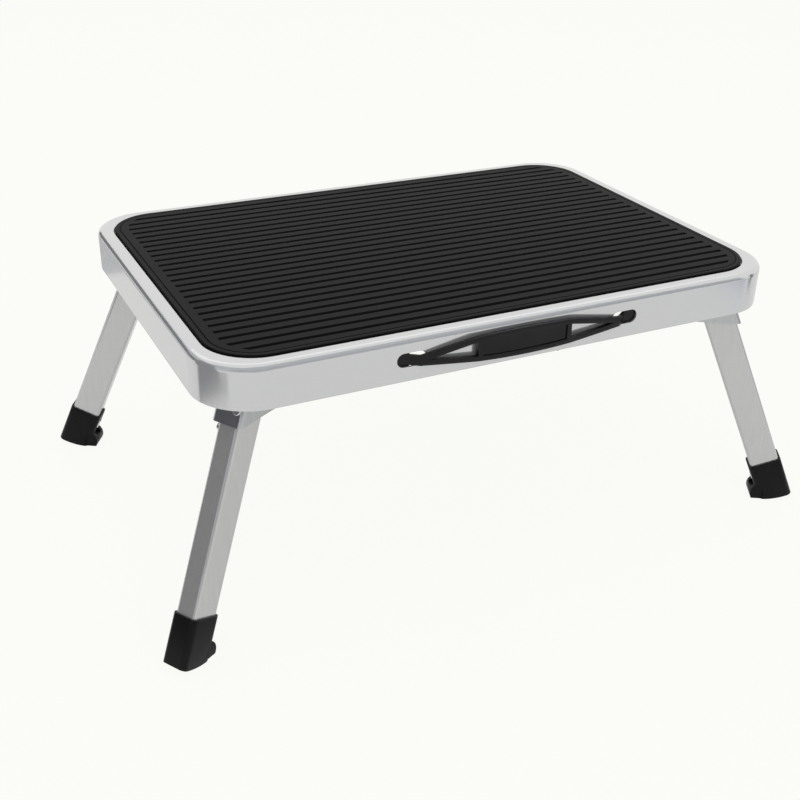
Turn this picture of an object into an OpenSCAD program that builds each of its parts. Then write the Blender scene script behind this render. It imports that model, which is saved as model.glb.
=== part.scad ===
// Folding entry step. A pressed steel pan carries a ribbed mat and a bowed carry handle.
// Four tube legs splay out towards the corners and fold in flat under the pan.

/* [Deck] */
// Length of the pan
deck_l = 380; // [350:1:410]
// Width of the pan
deck_w = 264; // [250:1:290]
// Height from the ground to the top of the mat
step_h = 174; // [160:1:190]
// Thickness of the pan's sheet
sheet_t = 1.2; // [1:0.1:1.6]
// Height of the pan, from the bottom of the skirt to the rim
skirt_h = 26; // [24:1:30]
// Corner radius of the pan
corner_r = 35; // [32:1:40]
// Outer radius of the bend between rim and skirt
bend_r = 4; // [3:0.5:6]
// Radius of the bend between the rim and the mat's recess
recess_r = 1.1; // [0.8:0.1:1.2]

/* [Mat] */
// Width of the flat rim around the mat
mat_margin = 10; // [9:1:14]
// Corner radius of the mat
mat_corner_r = 30; // [26:1:34]
// Thickness of the mat
mat_t = 3; // [2.5:0.5:4]
// Height of the mat above the rim
mat_proud = 1; // [0.5:0.5:1.5]
// Gap between the mat and the wall of its recess
mat_gap = 0.3; // [0.2:0.1:0.6]
// Rounding of the mat's upper edge
mat_edge_r = 0.8; // [0.5:0.1:1]
// Distance from one groove to the next
groove_pitch = 8.9; // [7:0.1:12]
// Radius of a groove's round bottom
groove_r = 1.6; // [1.2:0.1:2]
// Depth of a groove
groove_depth = 1.3; // [0.8:0.1:1.5]
// Smooth border between the grooves' ends and the mat's edge
groove_border = 9; // [6:1:14]
// Distance of the fine line around the mat from its edge
line_in = 3.4; // [3:0.2:5]
// Half width of the fine line
line_r = 0.5; // [0.3:0.1:0.7]

/* [Handle] */
// Distance between the outer ends of the handle's slots
handle_l = 160; // [150:1:180]
// Length of the solid grip panel
grip_l = 62; // [50:1:76]
// Height of the grip panel at its ends
grip_h = 15; // [13:0.5:16]
// Rise of the panel's arched edges at its middle
grip_crown = 0.9; // [0.5:0.1:1.2]
// Height of the handle where it enters its slots
handle_tip_h = 6; // [5:0.5:7]
// Depth of that tip's middle below the middle of the slot
handle_tip_drop = 1; // [0:0.1:1.1]
// Sideways shift of the whole handle
handle_shift = -3; // [-5:0.5:5]
// Thickness of the handle
handle_t = 2.4; // [2:0.1:2.8]
// Gap between the skirt and the middle of the handle
handle_bow = 1.8; // [1.4:0.1:3]
// Width of the raised frame around the panel and of the bars
handle_bar = 3; // [2.5:0.5:3.5]
// Depth of the sunk field on the panel
panel_sink = 0.8; // [0.5:0.1:1.2]
// Length of the ramp that leads each end of the handle in through its slot
ramp_l = 5.5; // [5:0.5:6]
// Length of a slot in the skirt
slot_l = 18; // [17:0.5:20]
// Height of a slot in the skirt
slot_h = 8.5; // [8:0.5:10]
// Length of the hook that lies behind the skirt
hook_l = 15; // [12:1:18]
// Height of the hook, which is too tall to slip back out of its slot
hook_h = 11; // [10:0.5:13]

/* [Legs] */
// Angle of the legs from the vertical
leg_tilt = 23.7; // [20:0.1:26]
// Angle of the legs' splay from the long side, seen from above
splay = 31; // [26:1:36]
// Distance of a leg's pivot from the end of the pan
pivot_inset_x = 30.6; // [28:0.2:36]
// Distance of a leg's pivot from the side of the pan
pivot_inset_y = 27.2; // [26:0.2:32]
// Depth of a pivot under the top of the mat
pivot_drop = 26; // [24:0.5:28]
// Depth of the leg tube, along its splay
tube_d = 19.4; // [18:0.2:20.4]
// Width of the leg tube
tube_w = 14; // [12:0.5:15]
// Wall of the leg tube
tube_t = 1.2; // [1:0.1:1.6]
// Corner radius of the leg tube
tube_r = 2; // [1.8:0.1:2.5]

/* [Brackets] */
// Thickness of the bracket's sheet
bracket_t = 1.5; // [1.2:0.1:2]
// Clear gap between the leg and a wing
wing_gap = 1.7; // [1.5:0.1:2.2]
// Reach of a wing inwards from the pivot
wing_in = 14; // [12:0.5:14]
// Depth of the bracket below the skirt
bracket_drop = 13.5; // [12:0.5:15]
// Outer radius of the bracket's folds
fold_r = 2.5; // [2:0.5:3]
// Width of a flange under the pan
flange_w = 9; // [7:1:10]
// Radius of the pivot pin
pin_r = 3; // [2.5:0.1:3.5]
// Running clearance of the leg on its pin
pin_clear = 0.05; // [0.03:0.01:0.08]
// Radius of a pin's head
pin_head_r = 4.6; // [4.2:0.1:5]
// Height of a pin's head
pin_head_h = 1.6; // [1.2:0.1:2]
// Radius of a washer
washer_r = 6; // [5:0.5:7]
// Clearance between pieces that move past each other
play = 0.3; // [0.2:0.05:0.4]
// Thickness of the leaf spring
spring_t = 0.6; // [0.4:0.1:0.8]
// Width of the leaf spring
spring_w = 15.2; // [14:0.2:15.4]
// Reach of the leaf spring above the line of the pin, along the leg
spring_up = 8.6; // [7:0.2:10]
// Reach of the leaf spring below the line of the pin, along the leg
spring_down = 15.4; // [14.6:0.2:17]
// Radius of a spring rivet's shank
rivet_r = 1.5; // [1.2:0.1:1.8]
// Radius of a small rivet's head
rivet_head_r = 2.6; // [2.3:0.1:2.8]
// Height of a small rivet's head
rivet_head_h = 1.2; // [0.8:0.1:1.6]
// Distance of a spring rivet from the middle of the bracket
rivet_offset = 5.6; // [4.5:0.1:5.7]
// Distance of the lower spring rivet below the pin, along the leg
rivet_down = 11.8; // [11:0.2:13]
// Distance from the lower spring rivet up to the other one, which the skirt hides
rivet_rise = 8; // [7:0.5:12]
// Distance of the leg's own rivet below the pin, along the leg
leg_rivet_down = 24.4; // [24:0.2:28]
// Distance of the leg's own rivet from the leg's middle
leg_rivet_out = 6; // [4:0.2:6.5]

/* [Boots] */
// Length of a boot along the leg
boot_l = 31; // [28:0.5:34]
// Wall of a boot
boot_t = 1.4; // [1.2:0.1:2]
// Thickness of a boot's bottom under the tube, along the leg
boot_floor = 9; // [8:0.5:11]
// Radius of the sole's curve, which lifts the outer edge off the ground
sole_r = 43; // [36:1:50]
// Distance of the curve's start inwards from the leg's axis
sole_in = 12.5; // [11:0.5:13]
// Radius of the toe that swells out on the inner side
toe_r = 7.6; // [7:0.2:8]
// Distance of the toe's centre inwards from the leg's axis
toe_in = 11; // [10:0.5:12]
// Height of the toe's centre
toe_z = 4; // [3.5:0.5:5]
// Width of the toe
toe_w = 14.8; // [13:0.2:15]
// Radius of the hollow on each flank of the toe
flank_r = 10; // [9:0.5:11]
// Distance of that hollow's centre inwards from the leg's axis
flank_in = 20; // [19:0.5:21]
// Height of that hollow's centre
flank_z = 3; // [2:0.5:4]
// Depth of that hollow
flank_depth = 0.8; // [0.4:0.1:1]
// Radius of the arched window above the toe
window_r = 4; // [3.5:0.1:4.5]
// Distance of the window from the boot's upper edge
window_down = 10.5; // [9:0.5:12]
// Radius of the screw's head in the window
screw_head_r = 3; // [2.5:0.1:3.2]
// Height of the screw's head
screw_head_h = 1.8; // [1.4:0.1:2]
// Radius of the screw's shank
screw_r = 1.6; // [1.2:0.1:1.8]

/* [Hidden] */

// Each corner is a name with the side and end that it lies on
CORNERS = [["front_left", -1, -1], ["front_right", 1, -1], ["rear_left", -1, 1], ["rear_right", 1, 1]];

$fn = 64;
// Facets of a full circle where only a shallow arc of it is used
arc_fn = 720;
sole_fn = 128;
// Reach of a cut past the surface that it opens
past = 1;

// Levels above the ground
rim_z = step_h - mat_proud;
skirt_z = rim_z - skirt_h;
recess_z = step_h - mat_t;
under_z = recess_z - sheet_t;
pivot_z = step_h - pivot_drop;
bracket_z = skirt_z - bracket_drop;
handle_z = rim_z - skirt_h / 2;

// Plan sizes
mat_l = deck_l - 2 * mat_margin;
mat_w = deck_w - 2 * mat_margin;
groove_count = 2 * floor((mat_w - groove_pitch) / groove_pitch / 2);
pivot_x = deck_l / 2 - pivot_inset_x;
pivot_y = deck_w / 2 - pivot_inset_y;

// Leg sizes, in the leg's own frame: x out along the splay, z up along the tube, pin at zero
axis_l = pivot_z / cos(leg_tilt);
tube_end = axis_l - boot_floor;
boot_top = axis_l - boot_l;
boot_d = tube_d + 2 * boot_t;
boot_w = tube_w + 2 * boot_t;
foot_x = pivot_z * tan(leg_tilt);

// Bracket sizes across the leg
wing_y = tube_w / 2 + wing_gap;
bracket_w = 2 * (wing_y + bracket_t);
wall_x = tube_d / 2 + play + spring_t;
bracket_high = under_z - pivot_z;
bracket_low = pivot_z - bracket_z;
inner_fold_r = fold_r - bracket_t;

// Handle sizes
skirt_y = deck_w / 2;
slot_x = handle_l / 2 - slot_l / 2;
ramp_x = slot_x - slot_l / 2 + slot_h / 2;
ramp_out = ramp_x + ramp_l;
hook_end = ramp_out + hook_l;
bow_r = (ramp_x * ramp_x + handle_bow * handle_bow) / (2 * handle_bow);
hook_y = skirt_y - sheet_t - play;
crown_r = (grip_l * grip_l / 4 + grip_crown * grip_crown) / (2 * grip_crown);

module rounded_rect(l, w, r) {
    square([l - 2 * r, w], center = true);
    square([l, w - 2 * r], center = true);
    for (x = [-1, 1], y = [-1, 1])
        translate([x * (l / 2 - r), y * (w / 2 - r)]) circle(r);
}

module rounded_plate(l, w, r, z0, z1) {
    translate([0, 0, z0]) linear_extrude(z1 - z0) rounded_rect(l, w, r);
}

// Carries a half section around a rounded rectangle. The section's x runs out from the corner's centre.
module around(l, w, r) {
    for (x = [0, 1], y = [0, 1])
        mirror([x, 0, 0]) mirror([0, y, 0]) translate([l / 2 - r, w / 2 - r, 0])
            rotate_extrude(angle = 90) children();
    for (x = [0, 1]) mirror([x, 0, 0]) translate([l / 2 - r, w / 2 - r, 0])
        rotate([90, 0, 0]) linear_extrude(w - 2 * r) children();
    for (y = [0, 1]) mirror([0, y, 0]) translate([r - l / 2, w / 2 - r, 0])
        rotate([90, 0, 90]) linear_extrude(l - 2 * r) children();
}

module slot() {
    square([slot_l - slot_h, slot_h], center = true);
    for (end = [-1, 1]) translate([end * (slot_l - slot_h) / 2, 0]) circle(slot_h / 2);
}

// Rim and skirt in section, with a round bend between them
module pan_section() {
    translate([0, rim_z - sheet_t]) square([corner_r - bend_r, sheet_t]);
    translate([corner_r - sheet_t, skirt_z]) square([sheet_t, skirt_h - bend_r]);
    intersection() {
        translate([corner_r - bend_r, rim_z - bend_r]) difference() {
            circle(bend_r);
            circle(bend_r - sheet_t);
        }
        translate([corner_r - bend_r, rim_z - bend_r]) square(bend_r + past);
    }
}

// Section of the mat's recess, which widens into a round bend at the rim
module recess_section() {
    wall = mat_corner_r + mat_gap;
    translate([0, recess_z]) square([wall, rim_z + past - recess_z]);
    difference() {
        translate([wall - past, rim_z - recess_r]) square([past + recess_r, recess_r + past]);
        translate([wall + recess_r, rim_z - recess_r]) circle(recess_r);
    }
}

module deck_pan() {
    color("silver") difference() {
        union() {
            around(deck_l, deck_w, corner_r) pan_section();
            translate([0, 0, rim_z - sheet_t]) linear_extrude(sheet_t)
                square([deck_l - 2 * corner_r, deck_w - 2 * corner_r], center = true);
            rounded_plate(mat_l + 2 * (mat_gap + sheet_t), mat_w + 2 * (mat_gap + sheet_t),
                mat_corner_r + mat_gap + sheet_t, under_z, rim_z);
        }
        around(mat_l + 2 * mat_gap, mat_w + 2 * mat_gap, mat_corner_r + mat_gap) recess_section();
        translate([0, 0, recess_z]) linear_extrude(mat_t)
            square([mat_l - 2 * mat_corner_r, mat_w - 2 * mat_corner_r], center = true);
        for (side = [-1, 1]) translate([handle_shift + side * slot_x, past - skirt_y + sheet_t, handle_z])
            rotate([90, 0, 0]) linear_extrude(sheet_t + 2 * past) slot();
    }
}

// Half section of the mat's border, with a rounded upper edge
module mat_section() {
    square([mat_corner_r, mat_t - mat_edge_r]);
    square([mat_corner_r - mat_edge_r, mat_t]);
    translate([mat_corner_r - mat_edge_r, mat_t - mat_edge_r]) circle(mat_edge_r);
}

// Section of the fine line around the mat
module line_section() {
    translate([mat_corner_r - line_in, step_h])
        polygon([[-line_r, 0], [0, -line_r], [line_r, 0], [line_r, past], [-line_r, past]]);
}

module tread_mat() {
    color("dimgray") difference() {
        translate([0, 0, recess_z]) {
            around(mat_l, mat_w, mat_corner_r) mat_section();
            linear_extrude(mat_t)
                square([mat_l - 2 * mat_corner_r, mat_w - 2 * mat_corner_r], center = true);
        }
        intersection() {
            for (i = [0 : groove_count - 1])
                translate([0, (i - (groove_count - 1) / 2) * groove_pitch, step_h + groove_r - groove_depth])
                    rotate([0, 90, 0]) cylinder(r = groove_r, h = mat_l, center = true);
            rounded_plate(mat_l - 2 * groove_border, mat_w - groove_border,
                mat_corner_r - groove_border / 2, recess_z, step_h + past);
        }
        around(mat_l, mat_w, mat_corner_r) line_section();
    }
}

// Right half of the bowed strip seen from above, as far as the slot
module handle_bow_band(t) {
    intersection() {
        translate([0, bow_r - skirt_y - handle_bow]) difference() {
            circle(bow_r + handle_t, $fn = arc_fn);
            circle(bow_r + handle_t - t, $fn = arc_fn);
        }
        translate([0, -skirt_y - handle_bow - handle_t - past])
            square([ramp_x, handle_bow + handle_t + past]);
    }
}

// Right half seen from above: the bow, a ramp through the slot and a hook behind the skirt
module handle_plan() {
    handle_bow_band(handle_t);
    polygon([
        [ramp_x - past, -skirt_y], [ramp_x - past, -skirt_y - handle_t], [ramp_x, -skirt_y - handle_t],
        [ramp_out, -hook_y], [hook_end, -hook_y], [hook_end, handle_t - hook_y],
        [ramp_out, handle_t - hook_y], [ramp_x, -skirt_y],
    ]);
}

// Right half of the arched panel from the front
module handle_panel(l, h) {
    intersection() {
        translate([0, -h / 2 - grip_crown]) square([l / 2, h + 2 * grip_crown]);
        translate([0, h / 2 + grip_crown - crown_r]) circle(crown_r, $fn = arc_fn);
        translate([0, crown_r - h / 2 - grip_crown]) circle(crown_r, $fn = arc_fn);
    }
}

// Right half of the handle from the front: the panel, a tapering truss, the tip and its tall hook
module handle_outline() {
    tip_top = handle_tip_h / 2 - handle_tip_drop;
    tip_low = -handle_tip_h / 2 - handle_tip_drop;
    tip_x = ramp_x - past;
    handle_panel(grip_l, grip_h);
    difference() {
        polygon([
            [grip_l / 2 - past, grip_h / 2], [grip_l / 2, grip_h / 2], [tip_x, tip_top],
            [ramp_out, tip_top], [ramp_out, hook_h / 2], [hook_end, hook_h / 2], [hook_end, -hook_h / 2],
            [ramp_out, -hook_h / 2], [ramp_out, tip_low], [tip_x, tip_low],
            [grip_l / 2, -grip_h / 2], [grip_l / 2 - past, -grip_h / 2],
        ]);
        polygon([
            [grip_l / 2, grip_h / 2 - handle_bar], [tip_x - handle_bar, -handle_tip_drop],
            [grip_l / 2, handle_bar - grip_h / 2],
        ]);
    }
}

// Upright prism through the front of the deck
module from_front() {
    translate([0, 0, handle_z]) rotate([90, 0, 0]) linear_extrude(deck_w) children();
}

module handle_half() {
    difference() {
        intersection() {
            linear_extrude(rim_z) handle_plan();
            from_front() handle_outline();
        }
        intersection() {
            linear_extrude(rim_z) handle_bow_band(panel_sink);
            from_front() handle_panel(grip_l - 2 * handle_bar, grip_h - 2 * handle_bar);
        }
    }
}

module carry_handle() {
    color("black") translate([handle_shift, 0, 0]) for (side = [0, 1]) mirror([side, 0, 0]) handle_half();
}

// Places its children at a corner's pivot, with x along the splay
module at_corner(c) {
    mirror([c[1] < 0 ? 1 : 0, 0, 0]) mirror([0, c[2] < 0 ? 1 : 0, 0])
        translate([pivot_x, pivot_y, pivot_z]) rotate([0, 0, splay]) children();
}

// Turns the frame so that z runs up along the leg
module along_leg() {
    rotate([0, -leg_tilt, 0]) children();
}

module across(r, w) {
    rotate([90, 0, 0]) cylinder(r = r, h = w, center = true);
}

// Folded channel behind the leg, cut level at the top and the bottom
module bracket_channel() {
    reach = bracket_high + bracket_low + tube_d;
    wall_out = wall_x + bracket_t;
    intersection() {
        along_leg() translate([0, 0, -reach]) linear_extrude(2 * reach) difference() {
            translate([wall_out - reach, 0]) rounded_rect(2 * reach, bracket_w, fold_r);
            translate([wall_x - reach, 0]) rounded_rect(2 * reach, 2 * wing_y, inner_fold_r);
        }
        translate([-wing_in, -bracket_w, -bracket_low])
            cube([wing_in + 2 * tube_d, 2 * bracket_w, bracket_high + bracket_low]);
    }
}

// Places its children at the two spring rivets, with z pointing out along the splay
module at_spring_rivets() {
    for (place = [[rivet_offset, rivet_down], [-rivet_offset, rivet_down - rivet_rise]])
        translate([0, place[0], -place[1]]) rotate([0, 90, 0]) children();
}

module spring_holes() {
    at_spring_rivets() cylinder(r = rivet_r, h = 2 * tube_d);
}

module bracket() {
    flange_l = wing_in + (wall_x - bracket_high * sin(leg_tilt)) / cos(leg_tilt);
    color("silver") difference() {
        union() {
            bracket_channel();
            for (side = [0, 1]) mirror([0, side, 0])
                translate([-wing_in, wing_y + bracket_t / 2, bracket_high - bracket_t])
                    cube([flange_l, flange_w + bracket_t / 2, bracket_t]);
        }
        across(pin_r, 2 * bracket_w);
        along_leg() spring_holes();
    }
}

// Rivet head with a rounded edge, seated on z = 0
module rivet_head(r, h) {
    edge = h / 2;
    rotate_extrude() {
        square([r, h - edge]);
        square([r - edge, h]);
        translate([r - edge, h - edge]) circle(edge);
    }
}

module pivot_pin() {
    color("gainsboro") {
        across(pin_r, bracket_w);
        for (side = [-1, 1])
            translate([0, side * bracket_w / 2, 0]) rotate([-side * 90, 0, 0])
                rivet_head(pin_head_r, pin_head_h);
    }
}

module washers() {
    color("white") for (side = [-1, 1])
        translate([0, side * (wing_y - (wing_gap - play) / 2), 0]) difference() {
            across(washer_r, wing_gap - play);
            across(pin_r + pin_clear, wing_gap);
        }
}

module leaf_spring() {
    color("lightsteelblue") along_leg() difference() {
        translate([wall_x - spring_t, -spring_w / 2, -spring_down])
            cube([spring_t, spring_w, spring_down + spring_up]);
        spring_holes();
    }
}

module spring_rivets() {
    color("gainsboro") along_leg() translate([wall_x - spring_t, 0, 0]) at_spring_rivets() {
        cylinder(r = rivet_r, h = spring_t + bracket_t);
        translate([0, 0, spring_t + bracket_t]) rivet_head(rivet_head_r, rivet_head_h);
    }
}

// Tube with a round end about its pin
module leg_tube() {
    color("silver") difference() {
        intersection() {
            along_leg() translate([0, 0, -tube_end])
                linear_extrude(tube_end + tube_d / 2) rounded_rect(tube_d, tube_w, tube_r);
            along_leg() union() {
                across(tube_d / 2, tube_w + past);
                translate([-tube_d, -tube_w, -axis_l]) cube([2 * tube_d, 2 * tube_w, axis_l]);
            }
        }
        along_leg() translate([0, 0, -axis_l]) linear_extrude(axis_l + tube_d)
            rounded_rect(tube_d - 2 * tube_t, tube_w - 2 * tube_t, tube_r - tube_t);
        across(pin_r + pin_clear, 2 * tube_w);
        along_leg() translate([leg_rivet_out, -tube_w / 2, -leg_rivet_down]) across(rivet_r, 3 * tube_t);
        along_leg() screw_axis() cylinder(r = screw_r, h = 3 * tube_t, center = true);
    }
}

// Hollow rivet on the leg, just under the bracket
module leg_rivet() {
    color("gainsboro") along_leg() translate([leg_rivet_out, -tube_w / 2, -leg_rivet_down])
        rotate([90, 0, 0]) difference() {
            union() {
                translate([0, 0, -tube_t]) cylinder(r = rivet_r, h = tube_t);
                rivet_head(rivet_head_r - play, 2 * rivet_head_h - play);
            }
            cylinder(r = rivet_r / 2, h = 3 * rivet_head_h);
        }
}

// Places its children on the tube's inner face at the boot's window, with z pointing inwards
module screw_axis() {
    translate([-tube_d / 2, 0, -boot_top - window_down]) rotate([0, -90, 0]) children();
}

// Side view of the sole in the upright frame: flat under the toe, then curving up to the outer edge
module sole_profile() {
    translate([foot_x - sole_in, sole_r - pivot_z]) circle(sole_r, $fn = sole_fn);
    translate([foot_x - sole_in - 2 * sole_r, -pivot_z]) square([2 * sole_r, 2 * sole_r]);
}

module boot_body() {
    along_leg() translate([0, 0, -axis_l - boot_d]) linear_extrude(boot_l + boot_d)
        rounded_rect(boot_d, boot_w, tube_r + boot_t);
    translate([foot_x - toe_in, 0, toe_z - pivot_z]) across(toe_r, toe_w);
}

// Round hollows on both flanks, where the toe meets the sleeve
module toe_flanks() {
    for (side = [-1, 1]) translate([foot_x - flank_in, side * boot_w / 2, flank_z - pivot_z])
        across(flank_r, 2 * flank_depth);
}

module boot() {
    color("black") difference() {
        intersection() {
            boot_body();
            rotate([90, 0, 0]) linear_extrude(2 * boot_w, center = true) sole_profile();
        }
        toe_flanks();
        along_leg() translate([0, 0, -tube_end])
            linear_extrude(tube_end) rounded_rect(tube_d, tube_w, tube_r);
        along_leg() screw_axis() {
            cylinder(r = window_r, h = 3 * boot_t);
            translate([-2 * window_r, -window_r, 0]) cube([2 * window_r, 2 * window_r, 3 * boot_t]);
        }
    }
}

module boot_screw() {
    color("gainsboro") along_leg() screw_axis() {
        translate([0, 0, -tube_t]) cylinder(r = screw_r, h = tube_t);
        rivet_head(screw_head_r, screw_head_h);
    }
}

deck_pan();
tread_mat();
carry_handle();
for (c = CORNERS) at_corner(c) {
    bracket();
    pivot_pin();
    washers();
    leaf_spring();
    spring_rivets();
    leg_tube();
    leg_rivet();
    boot();
    boot_screw();
}
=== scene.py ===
"""Looks of a folding entry step: silver pan, ribbed mat, carry handle and four splayed legs."""

import logging
from dataclasses import dataclass, field
from enum import Enum
from math import cos, radians, sin

import bmesh
import bpy
from mathutils import Matrix, Vector

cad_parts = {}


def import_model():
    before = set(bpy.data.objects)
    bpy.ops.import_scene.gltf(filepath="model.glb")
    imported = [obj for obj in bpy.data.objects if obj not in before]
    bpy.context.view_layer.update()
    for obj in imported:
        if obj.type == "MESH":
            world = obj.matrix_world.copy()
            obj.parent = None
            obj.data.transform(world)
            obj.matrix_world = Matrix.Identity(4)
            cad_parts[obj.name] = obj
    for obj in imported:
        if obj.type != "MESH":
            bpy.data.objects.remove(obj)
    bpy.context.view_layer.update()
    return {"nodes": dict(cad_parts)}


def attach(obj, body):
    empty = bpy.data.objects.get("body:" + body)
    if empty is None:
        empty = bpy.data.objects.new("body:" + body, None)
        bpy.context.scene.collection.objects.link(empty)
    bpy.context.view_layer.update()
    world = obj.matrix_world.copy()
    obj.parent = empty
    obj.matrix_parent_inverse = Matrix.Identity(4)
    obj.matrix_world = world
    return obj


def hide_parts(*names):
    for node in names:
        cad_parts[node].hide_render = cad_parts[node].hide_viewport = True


LOG = logging.getLogger("entry_step")
MM = 0.001
GRAIN_DETAIL = 3.0  # octaves of the grain's noise
DRAWN_STRETCH = 0.06  # scale of drawn grain along Z, which draws it out into long lines
MOTTLE_DARK_BELOW, MOTTLE_LIGHT_ABOVE = 0.3, 0.7  # values of the noise where the colour stops wandering
JOIN_WITHIN = 0.002 * MM  # corners that lie closer than this are one corner
FLAT_WITHIN = radians(0.5)  # faces that turn by less than this are one flat face
SHARP_FROM = radians(35.0)  # edges that turn by more than this are rounded
Colour = tuple[float, float, float]
Point = tuple[float, float, float]


class Corner(Enum):
    """The four corners of the step, named as the model's nodes are."""

    FRONT_LEFT = "front_left"
    FRONT_RIGHT = "front_right"
    REAR_LEFT = "rear_left"
    REAR_RIGHT = "rear_right"


class Grain(Enum):
    """How the fine surface of a finish runs."""

    EVEN = "even"
    DRAWN = "drawn"


@dataclass(frozen=True)
class Finish:
    """One surface finish.

    Args:
        name: Name of the Blender material.
        colour: Base colour, linear.
        metallic: Share of metal in the surface.
        roughness: Roughness of the surface.
        coat: Weight of the clear coat.
        coat_roughness: Roughness of the clear coat.
        grain: How the fine surface runs.
        grain_scale: Features of the grain per metre.
        grain_depth: Height of the grain, in metres.
        mottle: How far the colour wanders, as a share.
        specular: Specular level of the surface, 0.5 for plain plastic.
    """

    name: str
    colour: Colour
    metallic: float = 0.0
    roughness: float = 0.5
    coat: float = 0.0
    coat_roughness: float = 0.1
    grain: Grain = Grain.EVEN
    grain_scale: float = 400.0
    grain_depth: float = 0.0
    mottle: float = 0.0
    specular: float = 0.5

    def build(self) -> bpy.types.Material:
        """Makes the material.

        Returns:
            The Blender material, with its nodes in place.
        """
        material = bpy.data.materials.new(self.name)
        material.use_nodes = True
        tree = material.node_tree
        shader = tree.nodes["Principled BSDF"]
        shader.inputs["Base Color"].default_value = (*self.colour, 1.0)
        shader.inputs["Metallic"].default_value = self.metallic
        shader.inputs["Roughness"].default_value = self.roughness
        shader.inputs["Specular IOR Level"].default_value = self.specular
        shader.inputs["Coat Weight"].default_value = self.coat
        shader.inputs["Coat Roughness"].default_value = self.coat_roughness
        self._add_grain(tree, shader)
        return material

    def _add_grain(self, tree: bpy.types.NodeTree, shader: bpy.types.Node) -> None:
        """Adds a fine bump and a slight wander of the colour.

        Args:
            tree: The material's node tree.
            shader: The surface shader that takes them.
        """
        place = tree.nodes.new("ShaderNodeTexCoord")
        stretch = tree.nodes.new("ShaderNodeMapping")
        along = DRAWN_STRETCH if self.grain is Grain.DRAWN else 1.0
        stretch.inputs["Scale"].default_value = (1.0, 1.0, along)
        noise = tree.nodes.new("ShaderNodeTexNoise")
        noise.inputs["Scale"].default_value = self.grain_scale
        noise.inputs["Detail"].default_value = GRAIN_DETAIL
        bump = tree.nodes.new("ShaderNodeBump")
        bump.inputs["Strength"].default_value = 1.0
        bump.inputs["Distance"].default_value = self.grain_depth
        tree.links.new(place.outputs["Object"], stretch.inputs["Vector"])
        tree.links.new(stretch.outputs["Vector"], noise.inputs["Vector"])
        tree.links.new(noise.outputs["Fac"], bump.inputs["Height"])
        tree.links.new(bump.outputs["Normal"], shader.inputs["Normal"])
        if self.mottle > 0.0:
            tint = tree.nodes.new("ShaderNodeValToRGB")
            dark = tuple(c * (1.0 - self.mottle) for c in self.colour)
            light = tuple(min(1.0, c * (1.0 + self.mottle)) for c in self.colour)
            tint.color_ramp.elements[0].position = MOTTLE_DARK_BELOW
            tint.color_ramp.elements[1].position = MOTTLE_LIGHT_ABOVE
            tint.color_ramp.elements[0].color = (*dark, 1.0)
            tint.color_ramp.elements[1].color = (*light, 1.0)
            tree.links.new(noise.outputs["Fac"], tint.inputs["Fac"])
            tree.links.new(tint.outputs["Color"], shader.inputs["Base Color"])


@dataclass(frozen=True)
class GrooveShadedFinish(Finish):
    """A finish with painted shade, whose colour darkens below the tread, into the grooves and over the edges.

    Args:
        groove_shade: Painted shade, the colour at the bottom of a groove, linear.
        deep_z: Height of a groove's bottom, in metres.
        tread_z: Height from which the plain colour holds, in metres.
    """

    # Painted shade: the colour at the groove bottoms
    groove_shade: Colour = (0.0008, 0.0008, 0.0009)
    deep_z: float = 0.1729
    tread_z: float = 0.1739

    def build(self) -> bpy.types.Material:
        """Makes the material.

        Returns:
            The Blender material, whose colour follows the height on the piece.
        """
        material = super().build()
        tree = material.node_tree
        place = tree.nodes.new("ShaderNodeTexCoord")
        split = tree.nodes.new("ShaderNodeSeparateXYZ")
        rise = tree.nodes.new("ShaderNodeMapRange")
        rise.inputs["From Min"].default_value = self.deep_z
        rise.inputs["From Max"].default_value = self.tread_z
        # Painted shade: the colour runs from the groove's shade colour at the bottom to the plain colour at the
        # tread
        tint = tree.nodes.new("ShaderNodeValToRGB")
        tint.color_ramp.elements[0].color = (*self.groove_shade, 1.0)
        tint.color_ramp.elements[1].color = (*self.colour, 1.0)
        tree.links.new(place.outputs["Object"], split.inputs["Vector"])
        tree.links.new(split.outputs["Z"], rise.inputs["Value"])
        tree.links.new(rise.outputs["Result"], tint.inputs["Fac"])
        tree.links.new(tint.outputs["Color"], tree.nodes["Principled BSDF"].inputs["Base Color"])
        return material


SILVER_PAINT = Finish("silver_paint", (0.65, 0.655, 0.665), metallic=0.7, roughness=0.15, coat=0.15,
                      coat_roughness=0.05, grain=Grain.EVEN, grain_scale=2600.0, grain_depth=0.000004,
                      mottle=0.02)
# The mat's colour darkens into its grooves: painted shade
MAT_RUBBER = GrooveShadedFinish("mat_rubber", (0.0090, 0.0090, 0.0103), roughness=0.5, grain=Grain.EVEN,
                           grain_scale=1500.0, grain_depth=0.00002, specular=0.05)
HANDLE_PLASTIC = Finish("handle_plastic", (0.0035, 0.0035, 0.0045), roughness=0.24, grain=Grain.EVEN,
                        grain_scale=1800.0, grain_depth=0.000003, mottle=0.06, specular=0.25)
BOOT_RUBBER = Finish("boot_rubber", (0.006, 0.006, 0.007), roughness=0.36, grain=Grain.EVEN,
                     grain_scale=1200.0, grain_depth=0.00001, mottle=0.05, specular=0.15)
LEG_STEEL = Finish("leg_steel", (0.585, 0.585, 0.585), metallic=0.72, roughness=0.18, grain=Grain.DRAWN,
                   grain_scale=900.0, grain_depth=0.000006, mottle=0.03)
ZINC_STEEL = Finish("zinc_steel", (0.50, 0.505, 0.52), metallic=1.0, roughness=0.22, grain=Grain.DRAWN,
                    grain_scale=700.0, grain_depth=0.000003, mottle=0.04)
BRIGHT_STEEL = Finish("bright_steel", (0.72, 0.72, 0.72), metallic=1.0, roughness=0.2, grain=Grain.DRAWN,
                      grain_scale=1500.0, grain_depth=0.000002, mottle=0.03)
SPRING_STEEL = Finish("spring_steel", (0.30, 0.31, 0.34), metallic=0.9, roughness=0.35, grain=Grain.DRAWN,
                      grain_scale=800.0, grain_depth=0.000003, mottle=0.05)
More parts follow.
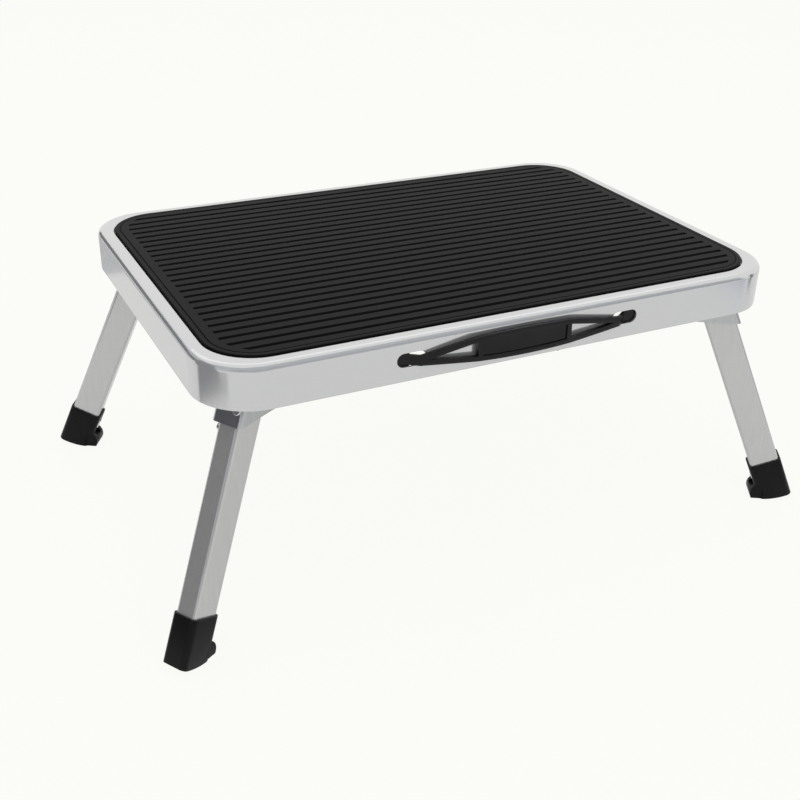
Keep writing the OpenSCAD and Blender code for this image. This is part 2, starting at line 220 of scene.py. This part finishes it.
WASHER_PLASTIC = Finish("washer_plastic", (0.7, 0.7, 0.68), roughness=0.5, grain=Grain.EVEN,
                        grain_scale=900.0, grain_depth=0.000006, mottle=0.03)


def add_object(name: str, data: bpy.types.ID) -> bpy.types.Object:
    """Makes an object and links it to the scene.

    Args:
        name: Name of the object.
        data: Its mesh, lamp or camera.

    Returns:
        The new object.
    """
    thing = bpy.data.objects.new(name, data)
    bpy.context.scene.collection.objects.link(thing)
    return thing


def plain_material(name: str, colour: Colour, roughness: float = 0.5) -> bpy.types.Material:
    """Makes a material of one colour with no gloss, for the floor or a card.

    Args:
        name: Name of the Blender material.
        colour: Its colour, linear.
        roughness: Roughness of the surface.

    Returns:
        The Blender material.
    """
    material = bpy.data.materials.new(name)
    material.use_nodes = True
    shader = material.node_tree.nodes["Principled BSDF"]
    shader.inputs["Base Color"].default_value = (*colour, 1.0)
    shader.inputs["Roughness"].default_value = roughness
    shader.inputs["Specular IOR Level"].default_value = 0.0
    return material


def own_mesh(node: bpy.types.Object, name: str) -> bpy.types.Object:
    """Copies a CAD node's mesh into an object of its own, with its loose triangles joined.

    Args:
        node: The CAD node to copy.
        name: Name of the new object.

    Returns:
        The new object, at the origin, unturned and unscaled.
    """
    shape = bmesh.new()
    shape.from_mesh(node.data)
    bmesh.ops.remove_doubles(shape, verts=shape.verts, dist=JOIN_WITHIN)
    bmesh.ops.dissolve_limit(shape, angle_limit=FLAT_WITHIN, verts=shape.verts, edges=shape.edges)
    mesh = bpy.data.meshes.new(name)
    shape.to_mesh(mesh)
    shape.free()
    return add_object(name, mesh)


def soften(piece: bpy.types.Object, width: float, segments: int = 3) -> None:
    """Rounds a piece's sharp edges.

    Args:
        piece: The object to round.
        width: Width of the rounding, in metres.
        segments: Facets across the rounding.
    """
    bevel = piece.modifiers.new("rounded_edges", "BEVEL")
    bevel.width = width
    bevel.segments = segments
    bevel.limit_method = "ANGLE"
    bevel.angle_limit = SHARP_FROM
    bevel.harden_normals = True
    for face in piece.data.polygons:
        face.use_smooth = True


def paint(piece: bpy.types.Object, material: bpy.types.Material) -> None:
    """Puts one material on a piece, in place of what it has.

    Args:
        piece: The object to paint.
        material: Its new material.
    """
    piece.data.materials.clear()
    piece.data.materials.append(material)


@dataclass(frozen=True)
class Rounding:
    """How a CAD piece's edges are rounded in its dressed copy.

    Args:
        width: Width of the rounding, in metres.
        slot: The record's material slot of the copy; not used.
        body: The body that the copy rides on.
    """

    width: float
    slot: str
    body: str

    def dress(self, node: bpy.types.Object, material: bpy.types.Material) -> bpy.types.Object:
        """Makes the rounded copy, which stands for the CAD piece.

        Args:
            node: The CAD node.
            material: The copy's material.

        Returns:
            The dressed copy.
        """
        copy = own_mesh(node, f"{node.name}_dressed")
        soften(copy, self.width)
        paint(copy, material)
        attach(copy, self.body)
        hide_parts(node.name)
        return copy


@dataclass
class Deck:
    """The pan, the mat and the carry handle.

    Args:
        nodes: The CAD nodes by name.
        handle_edge: Rounding of the handle's edges, in metres.
        pan_finish: Finish of the pan.
        mat_finish: Finish of the mat.
        handle_finish: Finish of the handle.
    """

    nodes: dict[str, bpy.types.Object]
    handle_edge: float = 0.35 * MM
    pan_finish: Finish = SILVER_PAINT
    mat_finish: Finish = MAT_RUBBER
    handle_finish: Finish = HANDLE_PLASTIC

    def dress(self) -> list[str]:
        """Gives the three pieces their finishes.

        Returns:
            The names of the pieces.
        """
        paint(self.nodes["deck_pan"], self.pan_finish.build())
        paint(self.nodes["tread_mat"], self.mat_finish.build())
        Rounding(self.handle_edge, "black_plastic", "deck").dress(self.nodes["carry_handle"],
                                                                  self.handle_finish.build())
        return ["deck_pan", "tread_mat", "carry_handle"]


@dataclass
class LegSet:
    """What hangs at one corner: bracket, pin, spring, leg and boot.

    Args:
        nodes: The CAD nodes by name.
        corner: Which corner this is.
        materials: The finished materials by the piece's name.
        bracket_edge: Rounding of the bracket's edges, in metres.
        boot_edge: Rounding of the boot's edges, in metres.
    """

    nodes: dict[str, bpy.types.Object]
    corner: Corner
    materials: dict[str, bpy.types.Material]
    bracket_edge: float = 0.5 * MM
    boot_edge: float = 0.5 * MM

    def dress(self) -> list[str]:
        """Gives each piece its finish.

        Returns:
            The names of the pieces.
        """
        rounded = {"bracket": Rounding(self.bracket_edge, "zinc_steel", "deck"),
                   "boot": Rounding(self.boot_edge, "boot_rubber", f"{self.corner.value}_leg")}
        names = []
        for part, material in self.materials.items():
            name = f"{self.corner.value}_{part}"
            if part in rounded:
                rounded[part].dress(self.nodes[name], material)
            else:
                paint(self.nodes[name], material)
            names.append(name)
        return names


def leg_materials() -> dict[str, bpy.types.Material]:
    """Builds the finishes that every corner shares.

    Returns:
        The materials by the piece's name.
    """
    bright, zinc = BRIGHT_STEEL.build(), ZINC_STEEL.build()
    return {"bracket": zinc, "pivot_pin": bright, "washers": WASHER_PLASTIC.build(),
            "leaf_spring": SPRING_STEEL.build(), "spring_rivets": bright, "leg_tube": LEG_STEEL.build(),
            "leg_rivet": bright, "boot": BOOT_RUBBER.build(), "boot_screw": bright}


@dataclass
class PhotoCamera:
    """The camera, at the viewing angle of the photograph.

    Args:
        place: Where the camera stands, in metres.
        azimuth: Degrees round from the front, positive to the right.
        elevation: Degrees above the horizon.
        roll: Degrees of turn about the line of sight.
        lens: Focal length in millimetres on a sensor of sensor_width.
        sensor_width: Width of the sensor in millimetres.
        near: Shortest distance that it sees, in metres.
    """

    place: Point = (-0.33395, -0.63255, 0.4345)
    azimuth: float = -26.838
    elevation: float = 28.0
    roll: float = 1.349
    lens: float = 51.504
    sensor_width: float = 36.0
    near: float = 0.01

    def build(self) -> bpy.types.Object:
        """Makes the camera and sets it as the scene's own.

        The camera's back points along (sin a cos e, -cos a cos e, sin e), where a is the azimuth and e the
        elevation. A level camera's right is Z cross back, and the roll turns its right and its up.

        Returns:
            The camera object.
        """
        turn, rise, tilt = radians(self.azimuth), radians(self.elevation), radians(self.roll)
        back = Vector((sin(turn) * cos(rise), -cos(turn) * cos(rise), sin(rise)))
        level = Vector((0.0, 0.0, 1.0)).cross(back).normalized()
        plumb = back.cross(level)
        right = level * cos(tilt) + plumb * sin(tilt)
        up = plumb * cos(tilt) - level * sin(tilt)
        data = bpy.data.cameras.new("camera")
        data.lens = self.lens
        data.sensor_width = self.sensor_width
        data.sensor_fit = "HORIZONTAL"
        data.clip_start = self.near
        camera = add_object("camera", data)
        camera.matrix_world = Matrix((
            (right.x, up.x, back.x, self.place[0]),
            (right.y, up.y, back.y, self.place[1]),
            (right.z, up.z, back.z, self.place[2]),
            (0.0, 0.0, 0.0, 1.0)))
        bpy.context.scene.camera = camera
        return camera


@dataclass
class SoftBox:
    """One area lamp that looks at a point.

    Args:
        name: Name of the lamp.
        place: Where it stands, in metres.
        target: What it looks at, in metres.
        size: Width and height, in metres.
        power: Power in watts.
        shown: Whether shiny surfaces show the lamp itself.
    """

    name: str
    place: Point
    target: Point
    size: tuple[float, float]
    power: float
    shown: bool = False

    def build(self) -> bpy.types.Object:
        """Makes the lamp.

        Returns:
            The lamp object.
        """
        data = bpy.data.lights.new(self.name, "AREA")
        data.shape = "RECTANGLE"
        data.size, data.size_y = self.size
        data.energy = self.power
        lamp = add_object(self.name, data)
        lamp.location = self.place
        aim = Vector(self.target) - Vector(self.place)
        lamp.rotation_euler = aim.to_track_quat("-Z", "Y").to_euler()
        lamp.visible_glossy = self.shown
        return lamp


@dataclass
class Card:
    """An upright card round the step, which only shiny surfaces show.

    Args:
        name: Name of the card.
        foot: Points along its foot on the floor, each with the card's height there, in metres.
        colour: Its colour, linear.
    """

    name: str
    foot: tuple[Point, ...]
    colour: Colour

    def build(self) -> bpy.types.Object:
        """Makes the card.

        Returns:
            The card object.
        """
        mesh = bpy.data.meshes.new(self.name)
        count = len(self.foot)
        corners = [(x, y, 0.0) for x, y, _ in self.foot] + [(x, y, high) for x, y, high in self.foot]
        mesh.from_pydata(corners, [], [(i, i + 1, count + i + 1, count + i) for i in range(count - 1)])
        mesh.materials.append(plain_material(self.name, self.colour))
        card = add_object(self.name, mesh)
        card.visible_camera = False
        card.visible_diffuse = False
        card.visible_shadow = False
        return card


@dataclass
class Studio:
    """Pale floor, white surroundings, upright cards and soft lamps.

    Args:
        floor_size: Side of the floor, in metres.
        floor_colour: Colour of the floor, linear.
        floor_roughness: Roughness of the floor.
        backdrop: Colour that the floor and the surroundings show, linear.
        floor_seen: Share of the backdrop's colour in the floor that the camera sees; the rest is lit and shaded.
        floor_gloss: The same share in the floor that glossy and clear pieces show.
        ambient: Strength of the surroundings as a light.
        cards: The cards that shiny surfaces show.
        lamps: The soft lamps.
    """

    floor_size: float = 12.0
    floor_colour: Colour = (0.80, 0.80, 0.79)
    floor_roughness: float = 0.9
    backdrop: Colour = (0.985, 0.985, 0.958)
    floor_seen: float = 0.94
    floor_gloss: float = 0.5
    ambient: float = 0.62
    cards: list[Card] = field(default_factory=lambda: [
        Card("left_card", ((-0.440, -0.284, 0.014), (-0.470, -0.202, 0.022), (-0.477, -0.141, 0.4),
                           (-0.470, -0.070, 0.4), (-0.448, -0.003, 0.4), (-0.418, 0.042, 0.4)),
             (0.18, 0.18, 0.19)),
        Card("right_card", ((0.570, -0.285, 0.3), (0.596, -0.205, 0.3)), (0.04, 0.04, 0.05)),
        Card("blue_card", ((0.442, -0.455, 0.1), (0.534, -0.355, 0.1)), (0.66, 0.71, 0.90)),
        Card("rear_card", ((-0.60, 0.47, 0.1), (-0.10, 0.45, 0.1)), (0.70, 0.70, 0.72)),
        Card("far_card", ((-1.3, 3.4, 2.6), (-3.2, 1.2, 3.0), (-2.8, -2.8, 7.0), (3.5, -2.8, 7.0)),
             (0.80, 0.81, 0.85)),
        Card("front_card", ((-2.6, -2.6, 1.6), (3.0, -2.6, 1.6)), (0.58, 0.59, 0.63)),
        Card("side_card", ((-0.7, 3.1, 1.0), (-2.0, 2.6, 1.3), (-3.0, 0.8, 1.3)), (0.08, 0.08, 0.09)),
    ])
    lamps: list[SoftBox] = field(default_factory=lambda: [
        SoftBox("key", (0.5, -2.0, 1.3), (0.0, 0.0, 0.1), (1.6, 1.2), 10.0),
        SoftBox("overhead", (-0.2, 0.1, 1.9), (0.0, 0.0, 0.1), (2.0, 1.2), 6.0),
        SoftBox("glint", (0.5, 1.3, 1.9), (0.0, 0.0, 0.1), (2.8, 1.1), 3.0, shown=True),
        SoftBox("fill", (-1.9, -0.4, 1.0), (0.0, 0.0, 0.1), (1.2, 1.2), 5.0),
    ])

    def build(self) -> None:
        """Makes the floor, the surroundings, the cards and the lamps."""
        self._floor()
        self._surroundings()
        for card in self.cards:
            card.build()
        for lamp in self.lamps:
            lamp.build()

    def _floor(self) -> bpy.types.Object:
        """Makes the floor, which shows the backdrop's colour to the camera and keeps a soft shadow.

        Returns:
            The floor object.
        """
        half = self.floor_size / 2.0
        mesh = bpy.data.meshes.new("floor")
        corners = [(-half, -half, 0.0), (half, -half, 0.0), (half, half, 0.0), (-half, half, 0.0)]
        mesh.from_pydata(corners, [], [(0, 1, 2, 3)])
        material = plain_material("floor", self.floor_colour, self.floor_roughness)
        tree = material.node_tree
        glow = tree.nodes.new("ShaderNodeEmission")
        glow.inputs["Color"].default_value = (*self.backdrop, 1.0)
        mix = tree.nodes.new("ShaderNodeMixShader")
        tree.links.new(seen_share(tree, self.floor_seen, self.floor_gloss), mix.inputs["Fac"])
        tree.links.new(tree.nodes["Principled BSDF"].outputs["BSDF"], mix.inputs[1])
        tree.links.new(glow.outputs["Emission"], mix.inputs[2])
        tree.links.new(mix.outputs["Shader"], tree.nodes["Material Output"].inputs["Surface"])
        mesh.materials.append(material)
        return add_object("floor", mesh)

    def _surroundings(self) -> None:
        """Makes the world: the backdrop's colour for the camera and for shiny pieces, plain light for the rest."""
        world = bpy.data.worlds.new("surroundings")
        bpy.context.scene.world = world
        world.use_nodes = True
        tree = world.node_tree
        tree.nodes.clear()
        out = tree.nodes.new("ShaderNodeOutputWorld")
        mix = tree.nodes.new("ShaderNodeMixShader")
        light = tree.nodes.new("ShaderNodeBackground")
        light.inputs["Color"].default_value = (1.0, 1.0, 1.0, 1.0)
        light.inputs["Strength"].default_value = self.ambient
        seen = tree.nodes.new("ShaderNodeBackground")
        seen.inputs["Color"].default_value = (*self.backdrop, 1.0)
        tree.links.new(seen_share(tree, 1.0, 1.0), mix.inputs["Fac"])
        tree.links.new(light.outputs["Background"], mix.inputs[1])
        tree.links.new(seen.outputs["Background"], mix.inputs[2])
        tree.links.new(mix.outputs["Shader"], out.inputs["Surface"])


def seen_share(tree: bpy.types.NodeTree, camera: float, gloss: float) -> bpy.types.NodeSocket:
    """Gives one share to rays from the camera, another to those from a glossy or clear piece, and 0 to the rest.

    Args:
        tree: The node tree of the floor or of the surroundings.
        camera: What rays from the camera get, from 0 to 1.
        gloss: What rays from a glossy or clear piece get, from 0 to 1.

    Returns:
        The socket that holds it.
    """
    path = tree.nodes.new("ShaderNodeLightPath")
    total = None
    for kind, share in (("Is Camera Ray", camera), ("Is Glossy Ray", gloss), ("Is Transmission Ray", gloss)):
        step = tree.nodes.new("ShaderNodeMath")
        step.operation = "MULTIPLY_ADD"
        step.inputs[1].default_value = share
        step.inputs[2].default_value = 0.0
        tree.links.new(path.outputs[kind], step.inputs[0])
        if total is not None:
            tree.links.new(total, step.inputs[2])
        total = step.outputs["Value"]
    return total


def main() -> None:
    """Builds the step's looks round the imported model."""
    logging.basicConfig(level=logging.INFO, format="%(name)s: %(message)s")
    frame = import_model()
    bpy.context.scene.view_settings.view_transform = "Standard"
    PhotoCamera().build()
    Studio().build()
    for name in Deck(frame["nodes"]).dress():
        LOG.info("dressed %s", name)
    shared = leg_materials()
    for corner in Corner:
        for name in LegSet(frame["nodes"], corner, shared).dress():
            LOG.info("dressed %s", name)


if __name__ == "__main__":
    main()
